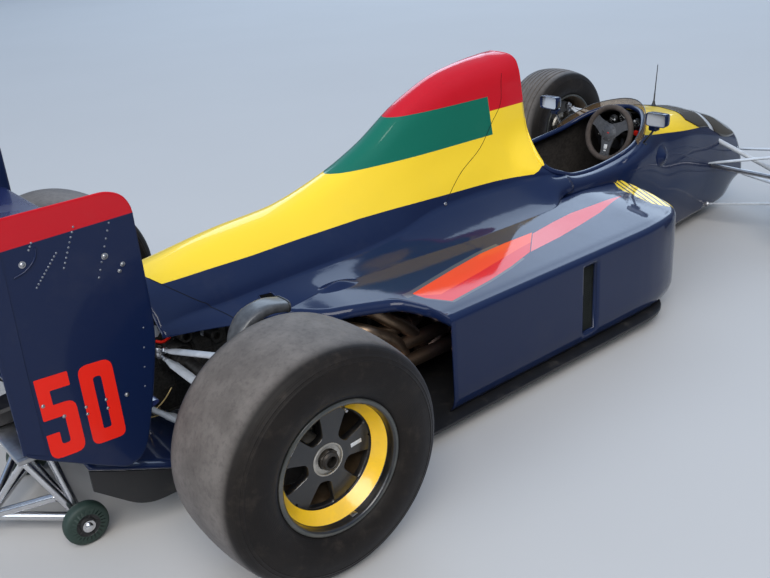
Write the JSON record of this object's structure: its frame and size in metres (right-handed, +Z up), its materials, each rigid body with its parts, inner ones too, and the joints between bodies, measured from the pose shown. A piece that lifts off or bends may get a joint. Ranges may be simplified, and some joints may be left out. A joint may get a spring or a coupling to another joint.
{
  "type": "open wheel racing car",
  "caption": "Single-seat open wheel racing car with tall air box, boxy side pods, rear wing, steered front wheels and a tail jack, shown with its nose section off.",
  "frame": {"origin": "centre of the bounding box's footprint, on the ground", "axes": "+X forward, +Y to the car's left, +Z up"},
  "size_m": [4.4619, 2.026, 1.012],
  "materials": {
    "navy_paint": "gloss",
    "cover_paint": "gloss",
    "black_composite": "satin",
    "aluminium_fins": "matte",
    "cast_alloy": "cast",
    "exhaust_steel": "heat tinted",
    "aluminium": "satin",
    "grey_paint": "satin",
    "suede": "napped",
    "screen": "clear",
    "black_plastic": "satin",
    "polished_steel": "bright",
    "jack_rubber": "matte",
    "tyre_rubber": "dusty",
    "rim_paint": "satin",
    "steel": "machined"
  },
  "bodies": {
    "chassis": {"underfloor": "black_composite", "diffuser": "black_composite", "tub": "navy_paint", "engine_cover": "cover_paint", "sidepod_right": "navy_paint", "sidepod_left": "navy_paint", "radiators": "aluminium_fins", "engine_block": "cast_alloy", "gearbox": "cast_alloy", "exhausts": "exhaust_steel", "wing_endplates": "navy_paint", "wing_main_plane": "navy_paint", "wing_flaps": "navy_paint", "lower_wing": "navy_paint", "wing_pillar": "aluminium", "rear_wishbones": "grey_paint", "rear_uprights": "aluminium", "brake_ducts": "grey_paint", "front_wishbones": "grey_paint", "steering_column": "aluminium", "dash_panel": "black_composite", "seat": "black_composite", "windscreen": "screen", "mirrors": "navy_paint", "antenna": "black_plastic", "jack_frame": "polished_steel"},
    "wheel_rear_right": {"tyre_rear_right": "tyre_rubber", "rim_rear_right": "rim_paint", "hub_rear_right": "steel"},
    "wheel_rear_left": {"tyre_rear_left": "tyre_rubber", "rim_rear_left": "rim_paint", "hub_rear_left": "steel"},
    "wheel_front_right": {"tyre_front_right": "tyre_rubber", "rim_front_right": "rim_paint", "hub_front_right": "steel"},
    "wheel_front_left": {"tyre_front_left": "tyre_rubber", "rim_front_left": "rim_paint", "hub_front_left": "steel"},
    "steer_right": {"knuckle_right": "aluminium"},
    "steer_left": {"knuckle_left": "aluminium"},
    "rack": {"steering_rack": "grey_paint"},
    "steering": {"steering_wheel": "suede"},
    "jack_roller_right": {"jack_wheel_right": "jack_rubber"},
    "jack_roller_left": {"jack_wheel_left": "jack_rubber"}
  },
  "joints": [
    {"name": "spin_rear_right", "type": "hinge", "parent": "chassis", "child": "wheel_rear_right", "pos_m": [-0.986, -0.83, 0.33], "axis": [0, 1, 0], "continuous": true},
    {"name": "spin_rear_left", "type": "hinge", "parent": "chassis", "child": "wheel_rear_left", "pos_m": [-0.986, 0.83, 0.33], "axis": [0, 1, 0], "continuous": true},
    {"name": "steer_right", "type": "hinge", "parent": "chassis", "child": "steer_right", "pos_m": [1.921, -0.77, 0.31], "axis": [0, 0, 1], "range_deg": [-15, 15]},
    {"name": "spin_front_right", "type": "hinge", "parent": "steer_right", "child": "wheel_front_right", "pos_m": [1.921, -0.881, 0.31], "axis": [0, 1, 0], "continuous": true},
    {"name": "steer_left", "type": "hinge", "parent": "chassis", "child": "steer_left", "pos_m": [1.921, 0.77, 0.31], "axis": [0, 0, 1], "range_deg": [-15, 15]},
    {"name": "spin_front_left", "type": "hinge", "parent": "steer_left", "child": "wheel_front_left", "pos_m": [1.921, 0.881, 0.31], "axis": [0, 1, 0], "continuous": true},
    {"name": "rack_slide", "type": "slide", "parent": "chassis", "child": "rack", "axis": [0, 1, 0], "range_m": [-0.029, 0.029]},
    {"name": "steering_turn", "type": "hinge", "parent": "chassis", "child": "steering", "pos_m": [1.287, 0, 0.53], "axis": [-0.9511, 0, 0.309], "range_deg": [-120.5, 120.5]},
    {"name": "roll_jack_right", "type": "hinge", "parent": "chassis", "child": "jack_roller_right", "pos_m": [-1.438, -0.347, 0.064], "axis": [0, 1, 0], "continuous": true},
    {"name": "roll_jack_left", "type": "hinge", "parent": "chassis", "child": "jack_roller_left", "pos_m": [-1.438, 0.118, 0.064], "axis": [0, 1, 0], "continuous": true}
  ],
  "couplings": [
    {"joint": "steer_left", "follows": "steer_right", "ratio": 1},
    {"joint": "rack_slide", "follows": "steer_right", "m_per_rad": -0.11},
    {"joint": "steering_turn", "follows": "steer_right", "ratio": 8}
  ]
}
